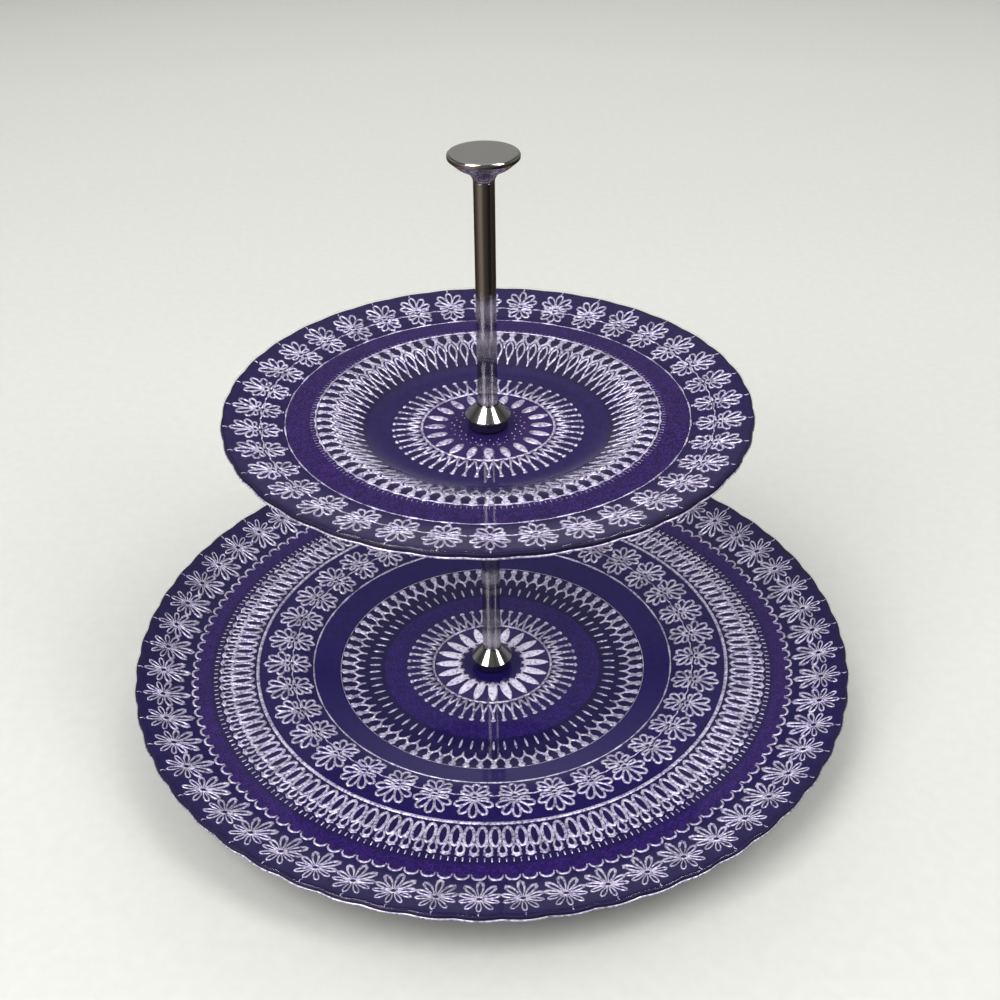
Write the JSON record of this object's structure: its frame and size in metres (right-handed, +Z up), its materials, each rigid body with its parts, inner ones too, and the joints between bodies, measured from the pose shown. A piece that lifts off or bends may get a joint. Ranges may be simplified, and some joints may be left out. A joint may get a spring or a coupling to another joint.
{
  "type": "tiered cake stand",
  "caption": "Round glass dishes held one above the other on a slim chrome stem with flared feet and a flat knob on top, for serving cakes.",
  "frame": {"origin": "on the table, on the stem's axis", "axes": "+Z up along the stem; the plates are round about it"},
  "size_m": [0.33, 0.33, 0.2594],
  "materials": {
    "plate_glass": "pressed glass, painted violet and indigo on the back with silver ornament, glossy top",
    "polished_chrome": "mirror polished plating",
    "satin_chrome": "satin top face, polished flare",
    "zinc_steel": "bright zinc plating",
    "insert_brass": "turned",
    "clear_silicone": "soft, milky clear",
    "dark_rubber": "moulded, dull",
    "white_nylon": "moulded"
  },
  "bodies": {
    "base": {"lower_plate": "plate_glass", "feet": "clear_silicone", "lower_bush": "white_nylon", "lower_top_washer": "dark_rubber", "lower_under_washer": "clear_silicone"},
    "column": {"lower_tube": "polished_chrome", "lower_bell": "polished_chrome", "lower_tube_foot_insert": "insert_brass", "lower_tube_head_insert": "insert_brass", "seat_washer": "polished_chrome", "link_stud": "zinc_steel"},
    "base_clamp": {"base_washer": "zinc_steel"},
    "base_fixing": {"base_screw": "zinc_steel"},
    "upper_tier": {"upper_plate": "plate_glass", "upper_bush": "white_nylon", "upper_under_washer": "clear_silicone"},
    "handle_seat": {"upper_top_washer": "dark_rubber"},
    "handle": {"upper_tube": "polished_chrome", "upper_bell": "polished_chrome", "upper_tube_foot_insert": "insert_brass", "upper_tube_head_insert": "insert_brass", "knob_stud": "zinc_steel", "knob": "satin_chrome"}
  },
  "joints": [
    {"name": "column_turn", "type": "hinge", "parent": "base", "child": "column", "pos_m": [0, 0, 0.0134], "axis": [0, 0, 1], "continuous": true},
    {"name": "upper_plate_turn", "type": "hinge", "parent": "column", "child": "upper_tier", "pos_m": [0, 0, 0.1374], "axis": [0, 0, 1], "continuous": true},
    {"name": "handle_rise", "type": "slide", "parent": "column", "child": "handle_seat", "axis": [0, 0, 1], "range_m": [0, 0.008]},
    {"name": "handle_turn", "type": "hinge", "parent": "handle_seat", "child": "handle", "pos_m": [0, 0, 0.1459], "axis": [0, 0, 1], "range_deg": [0, 3600]},
    {"name": "base_screw_drop", "type": "slide", "parent": "column", "child": "base_clamp", "axis": [0, 0, -1], "range_m": [0, 0.008]},
    {"name": "base_screw_turn", "type": "hinge", "parent": "base_clamp", "child": "base_fixing", "pos_m": [0, 0, 0.003], "axis": [0, 0, -1], "range_deg": [0, 3600]}
  ],
  "couplings": [
    {"joint": "handle_turn", "follows": "handle_rise", "rad_per_m": 7853.9},
    {"joint": "base_screw_turn", "follows": "base_screw_drop", "rad_per_m": 7853.9}
  ]
}
